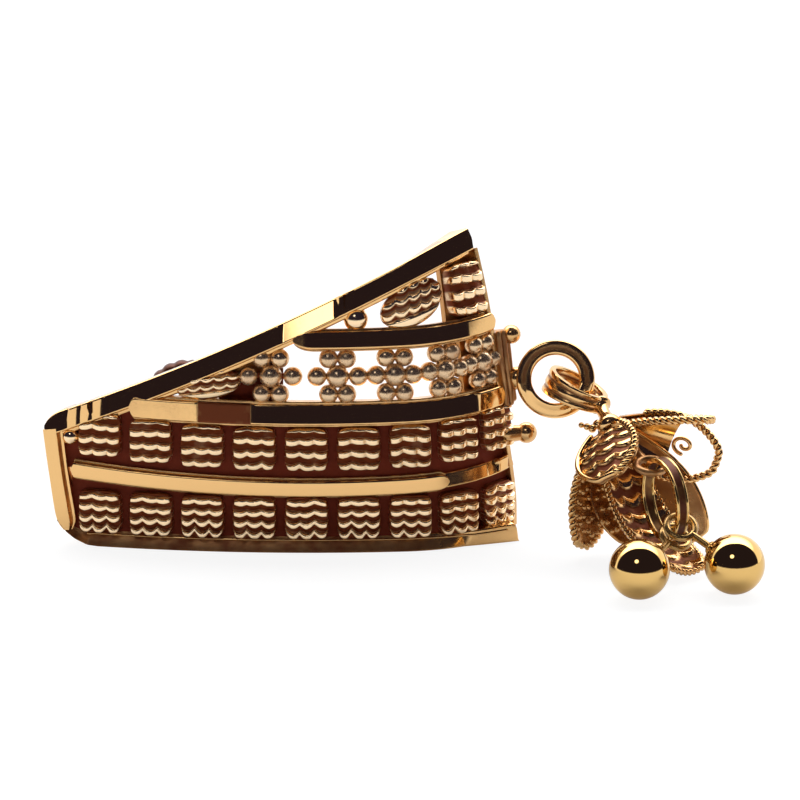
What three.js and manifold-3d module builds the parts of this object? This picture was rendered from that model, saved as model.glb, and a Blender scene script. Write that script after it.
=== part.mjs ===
// Filigree drop earring, one of a pair, in the pose in which it stands on a table: a stamped and
// pierced front panel on its long edge, a screw fitting behind it for the ear lobe, and a leaf cap
// with a ring and two balls lying in front of it. Millimetres; +X runs from the narrow end of the
// panel to its wide end, +Y to the back and +Z up.
import * as THREE from "three";
import { mergeVertices } from "three/addons/utils/BufferGeometryUtils.js";
import Module from "manifold-3d";

const wasm = await Module();
wasm.setup();

const vec = (x, y, z) => new THREE.Vector3(x, y, z);
const weldDistance = 1e-4;

// ---------------------------------------------------------------- driving dimensions

// The panel's front follows a shallow bow along its length, then curls to the back at the wide end,
// and above leanStart it tips back more and more.
const bowRadius = 48.6;
const curlStart = 4.5;
const curlRadius = 7;
const leanStart = 3;
const leanRate = 0.03;

// Depths below the panel's front, along its normal.
const railBack = -1.3;
const sheetFront = -0.45;
const sheetBack = -0.9;
const deepSheetFront = -0.85;
const deepSheetBack = -1.25;

// Panel places are given as s, the length along the front from its nearest point, and z, the height.
const narrowEnd = -12.7;
const wideEnd = 10.1;
const bands = {
  lower: { height: 3.09, rise: 0.0045, half: 0.38, from: -12.1, to: 10.75 },
  middle: { height: 6.64, rise: 0.0025, half: 0.48, from: -8.6, to: 10.1 },
  upper: { height: 10.1, rise: 0.003, half: 0.41, from: -1.6, to: 10.1 },
};
const strip = { height: 11.27, slope: 0.49, rise: 0.0063, tip: 0.287, half: 0.5, to: 9.6 };
const rim = { height: 0.72, from: -10.9, to: 11, frontCurve: 0.0201, back: -1.3 };
const flange = { from: 9.9, to: 11.15, low: 6.5, high: 9.8, front: -0.15, back: -0.9 };
const gusset = { from: -4.4, to: -1.3, front: -1.05, back: -1.25 };
const panelTop = 13.8;

const pad = { size: 2.06, pitch: 2.454, first: -9.99, count: 9, bosses: 3, edge: -0.16, boss: 0.08 };
const cornerPad = { s: 8.65, z: 12.15 };
const lowerRow = { height: 1.66, rise: 0 };
const upperRow = { height: 4.97, rise: 0.0043 };

const grain = { radius: 0.45, middleRadius: 0.56 };
const loneGrains = [
  { s: -11.45, z: 5.2, out: -0.4, radius: 0.42 },
  { s: 2.2, z: 11.06, out: -0.55, radius: 0.58 },
];
const flowers = [
  { s: -1.87, reach: 1.06 },
  { s: 1.31, reach: 0.98 },
  { s: 4.04, reach: 0.9 },
  { s: 6.73, reach: 0.9 },
  { s: 9.15, reach: 0.88 },
];
const flowerArm = { half: 0.1, front: -0.3, back: -0.6 };
const flowerRow = { height: 8.41, rise: 0.00275, rowStep: 0.9, halfStep: 0.45 };
const leaves = [
  { s: -4.85, z: 8.0, length: 3.1, half: 0.72, tilt: 0.125 },
  { s: 5.15, z: 11.72, length: 3.5, half: 1.02, tilt: 0.277 },
];

// The ring at the wide end, the fitting behind the panel, and the drop.
const endRing = { centre: vec(11.5, 3.4, 7.5), radius: 1.525, wire: 0.325 };
const endGrains = {
  grains: [
    { at: vec(9.42, 3.9, 9.55), radius: 0.45 },
    { at: vec(10.15, 3.35, 4.9), radius: 0.52 },
    { at: vec(9.7, 3.75, 7.45), radius: 0.55 },
  ],
  joint: { from: vec(9.2, 3.1, 4.9), to: vec(10.15, 3.35, 4.9), radius: 0.3 },
};
const post = { x: -5.9, z: 5.3, radius: 0.5, seatY: 1.1, tipY: 9, padRadius: 1.1, padY: 2 };
const nut = { frontY: 6.4, radius: 2.2, bore: 0.85, thickness: 1, hubRadius: 1.5, hubLength: 1 };

// The bail is widest where it folds through the end ring and narrows towards the neck.
const bail = {
  centre: vec(12.45, 3.45, 6.9),
  along: vec(0.8, -0.5, -0.33),
  depth: vec(0.46, 0.866, -0.2),
  halfLength: 1.4,
  halfDepth: 1.25,
  foldWidth: 1.2,
  neckWidth: 0.8,
  thickness: 0.3,
};
const crown = { centre: vec(14, 1.5, 5.8), radius: 0.75, neckRadius: 0.45 };

// Each petal runs from the crown to its tip; the side is the direction of its width, and the inside
// of the petal is towards side x reach. The last petal is bent forward under the lower ring.
const petals = [
  { tip: vec(13.85, -2.15, 4.35), side: vec(0.84, -0.275, 0.46), half: 1.55, cup: 0.1 },
  { tip: vec(12.5, -0.6, 0.6), side: vec(-0.65, -0.7, 0.3), half: 1.4 },
  { tip: vec(15.1, 0.1, 0.5), side: vec(-1, -0.12, -0.08), half: 1.5 },
  { tip: vec(18.3, 0.8, 0.6), side: vec(-0.7, 0.06, -0.52), half: 1.4 },
  { tip: vec(19.04, 1, 4.2), side: vec(-0.28, -0.13, -0.95), half: 1.5 },
  { tip: vec(18.6, -0.5, 6.75), side: vec(0, 0.961, -0.276), half: 1.05, cup: 0, bulge: -0.06 },
  { tip: vec(17.6, -4.1, 0.25), side: vec(-0.85, -0.52, 0.05), half: 1.35, bulge: -0.35, tipWidth: 0.65 },
];
const opened = { petal: 4, u: 0.74, radius: 0.95 };
const petalWall = 0.4;
const lowerRing = {
  centre: vec(16.42, -3.25, 3.62),
  along: vec(0.319, -0.663, -0.675),
  across: vec(0.247, -0.633, 0.734),
  radius: 1.85,
  thickness: 0.3,
  width: 0.6,
};
const eye = { radius: 0.88, wire: 0.18 };
const drops = [
  { name: "ball_drop_1", centre: vec(15.14, -6.95, 1.4), place: -0.46 },
  { name: "ball_drop_2", centre: vec(19.53, -6.19, 1.4), place: 0.46 },
];
const ballRadius = 1.4;

// ---------------------------------------------------------------- solids

function toSolid(geometry) {
  const bare = geometry.clone();
  bare.deleteAttribute("normal");
  bare.deleteAttribute("uv");
  const welded = mergeVertices(bare, weldDistance);
  const vertProperties = Float32Array.from(welded.attributes.position.array);
  const triVerts = Uint32Array.from(welded.index.array);
  return new wasm.Manifold(new wasm.Mesh({ numProp: 3, vertProperties, triVerts }));
}

function toGeometry(solid) {
  const mesh = solid.getMesh();
  const geometry = new THREE.BufferGeometry();
  geometry.setAttribute("position", new THREE.BufferAttribute(mesh.vertProperties, 3));
  geometry.setIndex(new THREE.BufferAttribute(mesh.triVerts, 1));
  return geometry;
}

function join(geometries) {
  return geometries.map(toSolid).reduce((whole, next) => whole.add(next));
}

// An indexed geometry whose faces are turned to point outwards, by the sign of its volume.
function closedGeometry(points, faces) {
  const volume = faces.reduce((sum, [a, b, c]) => {
    return sum + points[a].dot(points[b].clone().cross(points[c]));
  }, 0);
  const outward = volume > 0 ? faces : faces.map(([a, b, c]) => [a, c, b]);
  const geometry = new THREE.BufferGeometry().setFromPoints(points);
  geometry.setIndex(outward.flat());
  return geometry;
}

// A wall between two grids of points, front(u, v) and back(u, v), closed round its four edges.
function wall(us, vs, front, back) {
  const rows = vs.length;
  const layer = us.length * rows;
  const points = [front, back].flatMap((side) => us.flatMap((u) => vs.map((v) => side(u, v))));
  const faces = [];
  const quad = (a, b, c, d) => faces.push([a, b, c], [a, c, d]);
  for (let i = 0; i + 1 < us.length; i++) {
    for (let j = 0; j + 1 < rows; j++) {
      const a = i * rows + j;
      quad(a, a + rows, a + rows + 1, a + 1);
      quad(layer + a, layer + a + 1, layer + a + rows + 1, layer + a + rows);
    }
  }
  const edge = (a, b) => quad(a, b, layer + b, layer + a);
  for (let i = 0; i + 1 < us.length; i++) {
    edge((i + 1) * rows, i * rows);
    edge(i * rows + rows - 1, (i + 1) * rows + rows - 1);
  }
  for (let j = 0; j + 1 < rows; j++) {
    edge(j, j + 1);
    edge(layer - rows + j + 1, layer - rows + j);
  }
  return closedGeometry(points, faces);
}

// A closed band: point(turn, corner) carried round a loop, with both directions joined up.
function loop(turns, corners, point) {
  const points = [];
  const faces = [];
  for (let i = 0; i < turns; i++) {
    for (let j = 0; j < corners; j++) {
      points.push(point((2 * Math.PI * i) / turns, j));
      const next = ((i + 1) % turns) * corners;
      const side = (j + 1) % corners;
      const own = i * corners;
      faces.push([own + j, next + j, next + side], [own + j, next + side, own + side]);
    }
  }
  return closedGeometry(points, faces);
}

function ball(radius, centre, around = 8, down = 4) {
  return new THREE.SphereGeometry(radius, around, down).translate(...centre.toArray());
}

function wireRing({ radius, wire, centre, normal, around = 24, sides = 6 }) {
  const turn = new THREE.Quaternion().setFromUnitVectors(vec(0, 0, 1), normal);
  const geometry = new THREE.TorusGeometry(radius, wire, sides, around);
  return geometry.applyQuaternion(turn).translate(...centre.toArray());
}

function rod(from, to, radius, endRadius = radius, sides = 10) {
  const along = to.clone().sub(from);
  const turn = new THREE.Quaternion().setFromUnitVectors(vec(0, 1, 0), along.clone().normalize());
  const middle = from.clone().lerp(to, 0.5);
  const geometry = new THREE.CylinderGeometry(endRadius, radius, along.length(), sides);
  return geometry.applyQuaternion(turn).translate(...middle.toArray());
}

const mix = (a, b, t) => a + (b - a) * t;
const steps = (count) => Array.from({ length: count + 1 }, (_, i) => i / count);

// ---------------------------------------------------------------- front panel

// The point of the panel at length s and height z, moved out along its normal.
function panelPoint(s, z, out) {
  const turn = Math.asin(curlStart / bowRadius);
  const bowLength = bowRadius * turn;
  const heading = s < bowLength ? s / bowRadius : turn + (s - bowLength) / curlRadius;
  const bowed = Math.min(heading, turn);
  const x = bowRadius * Math.sin(bowed) + curlRadius * (Math.sin(heading) - Math.sin(bowed));
  const y = bowRadius * (1 - Math.cos(bowed)) + curlRadius * (Math.cos(bowed) - Math.cos(heading));
  const above = Math.max(z - leanStart, 0);
  const back = 0.5 * leanRate * above * above;
  const normal = vec(Math.sin(heading), -Math.cos(heading), leanRate * above).normalize();
  return vec(x - back * Math.sin(heading), y + back * Math.cos(heading), z).addScaledVector(normal, out);
}

// Lengths along the panel, closer together where it curls.
function stations(from, to) {
  const list = [from];
  const bowStep = 2.4;
  const curlStep = 1.2;
  while (list.at(-1) < to) {
    const step = list.at(-1) < curlStart - bowStep / 2 ? bowStep : curlStep;
    list.push(list.at(-1) + step);
  }
  const stretch = (to - from) / (list.at(-1) - from);
  return list.map((s) => from + (s - from) * stretch);
}

// A strip of the panel between a low and a high edge, each given as a height over s.
function panelStrip({ from, to, low, high, front, back, skew = 0 }) {
  const place = (s, v, out) => {
    const z = mix(low(s), high(s), v);
    return panelPoint(s - skew * (z - low(s)) * ((s - from) / (to - from)), z, out);
  };
  return wall(stations(from, to), [0, 1], (s, v) => place(s, v, front), (s, v) => place(s, v, back));
}

const bandHeight = ({ height, rise }) => (s) => height + rise * s * s;

// The height over s of a line of the diagonal strip, which lies in a plane that tips to the back.
const stripLine = (offset) => (s) => {
  const passes = 8;
  let z = strip.height;
  for (let pass = 0; pass < passes; pass++) {
    const { x, y } = panelPoint(s, z, 0);
    z = strip.height + offset + strip.slope * x + strip.rise * x * x - strip.tip * y;
  }
  return z;
};

function bandRail(band) {
  const middle = bandHeight(band);
  const low = (s) => middle(s) - band.half;
  const high = (s) => middle(s) + band.half;
  return panelStrip({ ...band, low, high, front: 0, back: railBack });
}

function diagonalStrip() {
  const low = stripLine(-strip.half);
  const high = stripLine(strip.half);
  return panelStrip({ from: narrowEnd, to: strip.to, low, high, front: 0, back: railBack });
}

// The plain bars at the two ends, given by the two edges of each as s and z from top to bottom.
function endBar(outer, inner, front) {
  const along = steps(outer.length - 1);
  const place = (u, v, out) => {
    const i = Math.round(u * (outer.length - 1));
    return panelPoint(mix(outer[i][0], inner[i][0], v), mix(outer[i][1], inner[i][1], v), out);
  };
  return wall(along, [0, 1], (u, v) => place(u, v, front), (u, v) => place(u, v, railBack));
}

const narrowBar = {
  outer: [[-12.75, 5.5], [-12.45, 3.4], [-12.13, 1.34], [-11.6, 0.6], [-10.6, 0]],
  inner: [[-11.95, 5.6], [-11.65, 3.3], [-11.25, 1.45], [-10.95, 1], [-10.3, 0.7]],
};
const wideBar = {
  outer: [[10.1, 13.8], [10.1, 10], [10.15, 6.6], [10.5, 4.3], [11, 1.9], [11.1, 0.3]],
  inner: [[9.8, 13.8], [9.8, 10], [9.85, 6.6], [10.2, 4.3], [10.7, 1.9], [10.8, 0.3]],
};

// The long bar that the earring stands on: flat below, and straighter in front than the panel.
function bottomRim() {
  const front = (s, v) => {
    const point = panelPoint(s, 0, 0);
    const y = s < 0 ? point.y : Math.min(rim.frontCurve * point.x ** 2, point.y);
    return vec(point.x, y, v * rim.height);
  };
  const back = (s, v) => panelPoint(s, v * rim.height, rim.back);
  return wall(stations(rim.from, rim.to), [0, 1], front, back);
}

// The sheets that carry the stamped squares, the deeper ones at the wide end, and the flange and the
// gusset behind the first flower.
function backSheets() {
  const lower = bandHeight(bands.lower);
  const middle = bandHeight(bands.middle);
  const edge = stripLine(0);
  const below = (s) => Math.min(middle(s), edge(s));
  const sheet = { front: sheetFront, back: sheetBack };
  const deep = { front: deepSheetFront, back: deepSheetBack };
  return [
    panelStrip({ ...sheet, from: -11.4, to: 11, low: () => rim.height / 2, high: lower, skew: 0.1 }),
    panelStrip({ ...sheet, from: -12, to: 10.6, low: lower, high: below }),
    panelStrip({ ...deep, from: 8.1, to: wideEnd, low: middle, high: bandHeight(bands.upper) }),
    panelStrip({ ...deep, from: 7.3, to: wideEnd, low: bandHeight(bands.upper), high: () => panelTop }),
    panelStrip({ ...flange, low: () => flange.low, high: () => flange.high }),
    panelStrip({ ...gusset, low: middle, high: edge }),
  ];
}

// A stamped square: a raised pad whose face is three by three pointed bosses.
function stampedPad(s, z, base) {
  const { bosses, size } = pad;
  const cell = size / bosses;
  const cornerPull = 0.9;
  const place = (i, j, out) => {
    const corner = i % bosses === 0 && j % bosses === 0 ? cornerPull : 1;
    return panelPoint(s + corner * (i * cell - size / 2), z + corner * (j * cell - size / 2), out);
  };
  const points = [];
  const faces = [];
  const node = (i, j) => i * (bosses + 1) + j;
  for (let i = 0; i <= bosses; i++) {
    for (let j = 0; j <= bosses; j++) {
      points.push(place(i, j, pad.edge));
    }
  }
  for (let i = 0; i < bosses; i++) {
    for (let j = 0; j < bosses; j++) {
      const peak = points.push(place(i + 0.5, j + 0.5, pad.boss)) - 1;
      const foot = [node(i, j), node(i + 1, j), node(i + 1, j + 1), node(i, j + 1)];
      foot.forEach((a, k) => faces.push([a, foot[(k + 1) % 4], peak]));
    }
  }
  const under = points.length;
  points.push(place(0, 0, base), place(bosses, 0, base));
  points.push(place(bosses, bosses, base), place(0, bosses, base));
  faces.push([under + 2, under + 1, under], [under + 3, under + 2, under]);
  const sides = [
    (k) => node(k, 0),
    (k) => node(bosses, k),
    (k) => node(bosses - k, bosses),
    (k) => node(0, bosses - k),
  ];
  sides.forEach((at, side) => {
    const from = under + side;
    for (let k = 0; k < bosses; k++) {
      faces.push([from, at(k + 1), at(k)]);
    }
    faces.push([from, under + ((side + 1) % 4), at(bosses)]);
  });
  return closedGeometry(points, faces);
}

function stampedRow(row) {
  const height = bandHeight(row);
  return steps(pad.count - 1).map((_, i) => {
    const s = pad.first + pad.pitch * i;
    return stampedPad(s, height(s), (sheetFront + sheetBack) / 2);
  });
}

// A flower of seven grains, which touch each other and the bands above and below.
function flower({ s, reach }) {
  const z = bandHeight(flowerRow)(s);
  const { rowStep, halfStep } = flowerRow;
  const places = [[0, 0], [-reach, 0], [reach, 0]];
  for (const side of [-1, 1]) {
    places.push([side * halfStep, rowStep], [side * halfStep, -rowStep]);
  }
  const place = (u, v, out) => panelPoint(s + u, z + v, out);
  const { half, front, back } = flowerArm;
  const face = (out) => (u, v) => place(u, v, out);
  const arm = wall([-reach, reach], [-half, half], face(front), face(back));
  const grains = places.map(([u, v], i) => {
    const radius = i === 0 ? grain.middleRadius : grain.radius;
    return ball(radius, place(u, v, -grain.radius));
  });
  return [arm, ...grains];
}

// A leaf with a rounded back, pointed at both ends.
function leaf({ s, z, length, half, tilt }) {
  const tip = 0.16;
  const crest = 0.35;
  const place = (u, v, out) => {
    const width = mix(tip, half, Math.sqrt(1 - u * u));
    return panelPoint(s + (u * length) / 2, z + (tilt * u * length) / 2 + v * width, out);
  };
  const front = (u, v) => place(u, v, -crest * (1 - Math.sqrt((1 - u * u) * (1 - v * v))));
  const lengthwise = steps(8).map((t) => 2 * t - 1);
  const crosswise = steps(4).map((t) => 2 * t - 1);
  return wall(lengthwise, crosswise, front, (u, v) => place(u, v, -1));
}

function solderedEnd() {
  const { grains, joint } = endGrains;
  return [
    wireRing({ ...endRing, normal: vec(0, 1, 0) }),
    rod(joint.from, joint.to, joint.radius, joint.radius, 6),
    ...grains.map(({ at, radius }) => ball(radius, at)),
  ];
}

function earPost() {
  const seat = vec(post.x, post.seatY, post.z);
  const padEnd = vec(post.x, post.padY, post.z);
  const tip = vec(post.x, post.tipY, post.z);
  return [rod(seat, padEnd, post.padRadius, post.padRadius, 16), rod(seat, tip, post.radius)];
}

function frontPanel() {
  return join([
    ...Object.values(bands).map(bandRail),
    diagonalStrip(),
    endBar(narrowBar.outer, narrowBar.inner, 0),
    endBar(wideBar.outer, wideBar.inner, -0.15),
    bottomRim(),
    ...backSheets(),
    ...stampedRow(lowerRow),
    ...stampedRow(upperRow),
    stampedPad(cornerPad.s, cornerPad.z, (deepSheetFront + deepSheetBack) / 2),
    ...flowers.flatMap(flower),
    ...leaves.map(leaf),
    ...loneGrains.map(({ s, z, out, radius }) => ball(radius, panelPoint(s, z, out))),
    ...solderedEnd(),
    ...earPost(),
  ]);
}

// ---------------------------------------------------------------- screw nut

function screwNut() {
  const hubEnd = nut.thickness + nut.hubLength;
  const bevel = 0.25;
  const profile = [
    [nut.bore, 0],
    [nut.radius - bevel, 0],
    [nut.radius, bevel],
    [nut.radius - bevel, nut.thickness],
    [nut.hubRadius, nut.thickness],
    [nut.hubRadius - bevel, hubEnd],
    [nut.bore, hubEnd],
    [nut.bore, 0],
  ].map(([r, y]) => new THREE.Vector2(r, y));
  return toSolid(new THREE.LatheGeometry(profile, 16).translate(post.x, nut.frontY, post.z));
}

// ---------------------------------------------------------------- leaf cap of the drop

// The corners of a flat band's section, as shares of its width and thickness.
const corners = [[-0.5, -0.5], [0.5, -0.5], [0.5, 0.5], [-0.5, 0.5]];

function bailLoop() {
  const across = bail.along.clone().cross(bail.depth).normalize();
  return loop(18, corners.length, (angle, corner) => {
    const [side, depth] = corners[corner];
    const grow = depth * bail.thickness;
    const width = mix(bail.foldWidth, bail.neckWidth, 0.5 + 0.5 * Math.cos(angle));
    return bail.centre.clone()
      .addScaledVector(bail.along, (bail.halfLength + grow) * Math.cos(angle))
      .addScaledVector(bail.depth, (bail.halfDepth + grow) * Math.sin(angle))
      .addScaledVector(across, side * width);
  });
}

// The middle line of a petal and the directions of its width and of its inside.
function petalFrame({ tip, side, bulge = -0.15 }) {
  const reach = tip.clone().sub(crown.centre);
  const along = reach.clone().normalize();
  const across = side.clone().addScaledVector(along, -side.dot(along)).normalize();
  const inside = across.clone().cross(along);
  const depth = bulge * reach.length();
  const bend = crown.centre.clone().addScaledVector(reach, 0.5).addScaledVector(inside, depth);
  const curve = new THREE.QuadraticBezierCurve3(crown.centre, bend, tip);
  return { curve, across, inside: (u) => across.clone().cross(curve.getTangent(u)).normalize() };
}

// A petal is a wall that is widest near its tip, with its edges turned inwards.
function petal(shape) {
  const { curve, across, inside } = petalFrame(shape);
  const { tipWidth = 0.3, cup = 0.3 } = shape;
  const width = (u) => shape.half * mix(tipWidth, 1, Math.sin(Math.PI * u ** 1.3) ** 0.7);
  const place = (u, v, depth) => {
    const point = curve.getPoint(u).addScaledVector(across, v * width(u));
    return point.addScaledVector(inside(u), depth + cup * v * v * width(u));
  };
  const crosswise = [-1, -0.4, 0.4, 1];
  return wall(steps(6), crosswise, (u, v) => place(u, v, 0), (u, v) => place(u, v, petalWall));
}

// The opening that is cut through the wide end of one petal.
function petalOpening() {
  const { curve, inside } = petalFrame(petals[opened.petal]);
  const middle = curve.getPoint(opened.u);
  const normal = inside(opened.u);
  const from = middle.clone().addScaledVector(normal, -2 * petalWall);
  const to = middle.clone().addScaledVector(normal, 3 * petalWall);
  return toSolid(rod(from, to, opened.radius, opened.radius, 14));
}

function ringTop() {
  return lowerRing.centre.clone().addScaledVector(lowerRing.along, -lowerRing.radius);
}

// An eye of wire whose hole the lower ring passes through, with a stem that runs to its holder.
function wireEye(centre, holder, stemStart) {
  const towards = holder.clone().sub(centre).normalize();
  const normal = lowerRing.across.clone();
  normal.addScaledVector(towards, -normal.dot(towards)).normalize();
  const stemEnd = centre.clone().addScaledVector(towards, eye.radius);
  return [
    wireRing({ ...eye, centre, normal, around: 14, sides: 6 }),
    rod(holder.clone().addScaledVector(towards, -stemStart), stemEnd, eye.wire, eye.wire, 6),
  ];
}

function dropCap() {
  const neckTop = bail.centre.clone().addScaledVector(bail.along, bail.halfLength);
  const whole = join([
    bailLoop(),
    rod(neckTop, crown.centre, crown.neckRadius, crown.neckRadius),
    ball(crown.radius, crown.centre, 8, 5),
    ...petals.map(petal),
    ...wireEye(ringTop(), crown.centre, 0),
  ]);
  return whole.subtract(petalOpening());
}

// ---------------------------------------------------------------- lower ring and balls

function plainRing() {
  const normal = lowerRing.along.clone().cross(lowerRing.across).normalize();
  return toSolid(loop(26, corners.length, (angle, corner) => {
    const [side, depth] = corners[corner];
    const reach = lowerRing.radius + depth * lowerRing.thickness;
    return lowerRing.centre.clone()
      .addScaledVector(lowerRing.along, reach * Math.cos(angle))
      .addScaledVector(lowerRing.across, reach * Math.sin(angle))
      .addScaledVector(normal, side * lowerRing.width);
  }));
}

function ballDrop({ centre, place }) {
  const angle = place / lowerRing.radius;
  const hangsAt = lowerRing.centre.clone()
    .addScaledVector(lowerRing.along, lowerRing.radius * Math.cos(angle))
    .addScaledVector(lowerRing.across, lowerRing.radius * Math.sin(angle));
  return join([ball(ballRadius, centre, 16, 10), ...wireEye(hangsAt, centre, ballRadius / 2)]);
}

// ---------------------------------------------------------------- assembly

const yellowGold = { color: 0xe0ad55, metalness: 1, roughness: 0.22 };
const polishedGold = { color: 0xf0c56c, metalness: 1, roughness: 0.08 };

const earring = new THREE.Group();

function place(name, solid, finish) {
  const mesh = new THREE.Mesh(toGeometry(solid), new THREE.MeshStandardMaterial(finish));
  mesh.name = name;
  earring.add(mesh);
}

place("front_panel", frontPanel(), yellowGold);
place("screw_nut", screwNut(), polishedGold);
place("drop_cap", dropCap(), yellowGold);
place("lower_ring", plainRing(), polishedGold);
for (const drop of drops) {
  place(drop.name, ballDrop(drop), polishedGold);
}

// The origin is the middle of the earring's box, on the surface that it stands on.
const box = new THREE.Box3().setFromObject(earring);
const middle = box.getCenter(vec(0, 0, 0));
earring.position.set(-middle.x, -middle.y, -box.min.z);

export default earring;
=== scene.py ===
import math

import bpy
import numpy as np
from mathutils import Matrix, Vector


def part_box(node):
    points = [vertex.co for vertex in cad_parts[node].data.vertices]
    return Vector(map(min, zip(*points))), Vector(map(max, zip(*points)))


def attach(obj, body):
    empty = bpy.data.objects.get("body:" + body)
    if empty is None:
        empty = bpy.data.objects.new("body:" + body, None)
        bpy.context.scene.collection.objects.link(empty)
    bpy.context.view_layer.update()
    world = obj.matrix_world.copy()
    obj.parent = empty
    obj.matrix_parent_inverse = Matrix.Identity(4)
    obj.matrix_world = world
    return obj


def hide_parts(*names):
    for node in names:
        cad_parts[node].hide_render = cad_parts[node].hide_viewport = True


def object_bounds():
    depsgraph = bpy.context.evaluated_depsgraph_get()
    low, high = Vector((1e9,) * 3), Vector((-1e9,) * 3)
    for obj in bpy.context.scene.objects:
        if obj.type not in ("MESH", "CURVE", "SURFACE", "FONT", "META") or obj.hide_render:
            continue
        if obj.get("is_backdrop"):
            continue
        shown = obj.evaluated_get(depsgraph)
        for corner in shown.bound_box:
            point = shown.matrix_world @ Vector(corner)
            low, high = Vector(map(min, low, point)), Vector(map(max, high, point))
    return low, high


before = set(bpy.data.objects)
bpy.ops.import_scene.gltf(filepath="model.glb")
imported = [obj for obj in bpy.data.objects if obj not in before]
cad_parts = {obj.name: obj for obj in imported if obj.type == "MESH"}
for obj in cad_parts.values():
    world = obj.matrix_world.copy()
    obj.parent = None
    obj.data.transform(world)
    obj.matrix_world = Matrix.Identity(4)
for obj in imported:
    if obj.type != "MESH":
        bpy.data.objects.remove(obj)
packedBox = [list(corner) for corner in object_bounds()]
rng = np.random.default_rng(11)

# the middle of the screw nut is at this place of the layout that the shapes are worked out in
nutMiddle = np.array([-5.9, 7.4, 5.3])
nutBox = np.array([list(corner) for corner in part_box("screw_nut")])
layoutShift = nutBox.mean(axis=0) * 1000 - nutMiddle
upright = np.array([0, 0, 1.0])
backwards = np.array([0, 1.0, 0])


def unit(v):
    # each vector over its own length
    return v / np.linalg.norm(v, axis=-1, keepdims=True)


def wholeTurn(count):
    # even angles round a circle, the last one step short of the first
    return np.linspace(0, 2 * math.pi, count, endpoint=False)


def gridQuads(rows, columns, closedRows=False, closedColumns=False):
    # corner numbers of the cells of a grid that is numbered along its columns
    i = np.arange(rows if closedRows else rows - 1)[:, None]
    j = np.arange(columns if closedColumns else columns - 1)[None, :]
    up = (i + 1) % rows
    side = (j + 1) % columns
    cells = [i * columns + j, up * columns + j, up * columns + side, i * columns + side]
    return np.stack([c + 0 * (i + j) for c in cells], axis=-1).reshape(-1, 4)


def gridBorder(rows, columns):
    # the corner numbers round such a grid's edge
    number = np.arange(rows * columns).reshape(rows, columns)
    return np.concatenate([number[:-1, 0], number[-1, :-1], number[:0:-1, -1], number[0, :0:-1]])


def part(points, quads, tris=None, patinaShade=0.0):
    # a closed body whose faces are turned outwards, by the sign of its volume
    tris = np.zeros((0, 3), int) if tris is None else tris
    split = np.concatenate([quads[:, [0, 1, 2]], quads[:, [0, 2, 3]], tris])
    a, b, c = (points[split[:, k]] - points.mean(axis=0) for k in range(3))
    if np.sum(a * np.cross(b, c)) < 0:
        quads = quads[:, ::-1]
        tris = tris[:, ::-1]
    patinaShade = np.broadcast_to(patinaShade, len(points))
    return {"points": points, "quads": quads, "tris": tris, "patinaShade": patinaShade}


def skin(rows, closed=False, startTip=None, endTip=None, patinaShade=0.0):
    # closed outlines rows[n, m] joined one after another; the ends close in fans to their tips
    n, m = rows.shape[:2]
    points = rows.reshape(-1, 3)
    quads = gridQuads(n, m, closed, True)
    patinaShade = np.broadcast_to(patinaShade, (n, m)).reshape(-1)
    if closed:
        return part(points, quads, None, patinaShade)
    startTip = rows[0].mean(axis=0) if startTip is None else startTip
    endTip = rows[-1].mean(axis=0) if endTip is None else endTip
    j = np.arange(m)
    k = (j + 1) % m
    first = np.stack([np.full(m, n * m), j, k], axis=1)
    last = np.stack([np.full(m, n * m + 1), (n - 1) * m + k, (n - 1) * m + j], axis=1)
    points = np.concatenate([points, [startTip, endTip]])
    patinaShade = np.concatenate([patinaShade, [patinaShade[0], patinaShade[-1]]])
    return part(points, quads, np.concatenate([first, last]), patinaShade)


def shell(front, back, patinaShade=0.0, backPatinaShade=0.0):
    # two grids of one size, closed round their four edges
    n, m = front.shape[:2]
    size = n * m
    quads = [gridQuads(n, m), gridQuads(n, m)[:, ::-1] + size]
    border = gridBorder(n, m)
    after = np.roll(border, -1)
    quads.append(np.stack([after, border, border + size, after + size], axis=1))
    points = np.concatenate([front.reshape(-1, 3), back.reshape(-1, 3)])
    ends = [np.broadcast_to(p, (n, m)).reshape(-1) for p in (patinaShade, backPatinaShade)]
    return part(points, np.concatenate(quads), None, np.concatenate(ends))


def relief(front, base, patinaShade=0.0):
    # a worked face whose border goes straight back to the base, closed there in a fan
    n, m = front.shape[:2]
    border = gridBorder(n, m)
    foot = n * m + np.arange(len(border))
    nextBorder = np.roll(border, -1)
    nextFoot = np.roll(foot, -1)
    quads = [gridQuads(n, m), np.stack([nextBorder, border, foot, nextFoot], axis=1)]
    flat = base.reshape(-1, 3)[border]
    tip = len(foot) + n * m
    tris = np.stack([nextFoot, foot, np.full(len(foot), tip)], axis=1)
    points = np.concatenate([front.reshape(-1, 3), flat, [flat.mean(axis=0)]])
    darkening = np.broadcast_to(patinaShade, (n, m)).reshape(-1)
    # the walls back to the base carry painted shade and patina
    darkening = np.concatenate([darkening, np.full(len(foot) + 1, 0.8)])
    return part(points, np.concatenate(quads), tris, darkening)


def across(path, reference, closed=False):
    # two directions across a path: the reference square to the path, and the one square to both
    if closed:
        along = unit(np.roll(path, -1, axis=0) - np.roll(path, 1, axis=0))
    else:
        along = unit(np.gradient(path, axis=0))
    reference = np.broadcast_to(reference, path.shape)
    first = unit(reference - np.sum(reference * along, axis=1, keepdims=True) * along)
    return first, np.cross(along, first)


def looped(centre, directions, turn, reaches, aside):
    # round a centre: one reach times the cosine along the first direction, the other times the sine
    # along the second, and aside along the third
    first, second, third = directions
    return (centre + (reaches[0] * np.cos(turn))[..., None] * first
            + (reaches[1] * np.sin(turn))[..., None] * second + aside[..., None] * third)


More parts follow.
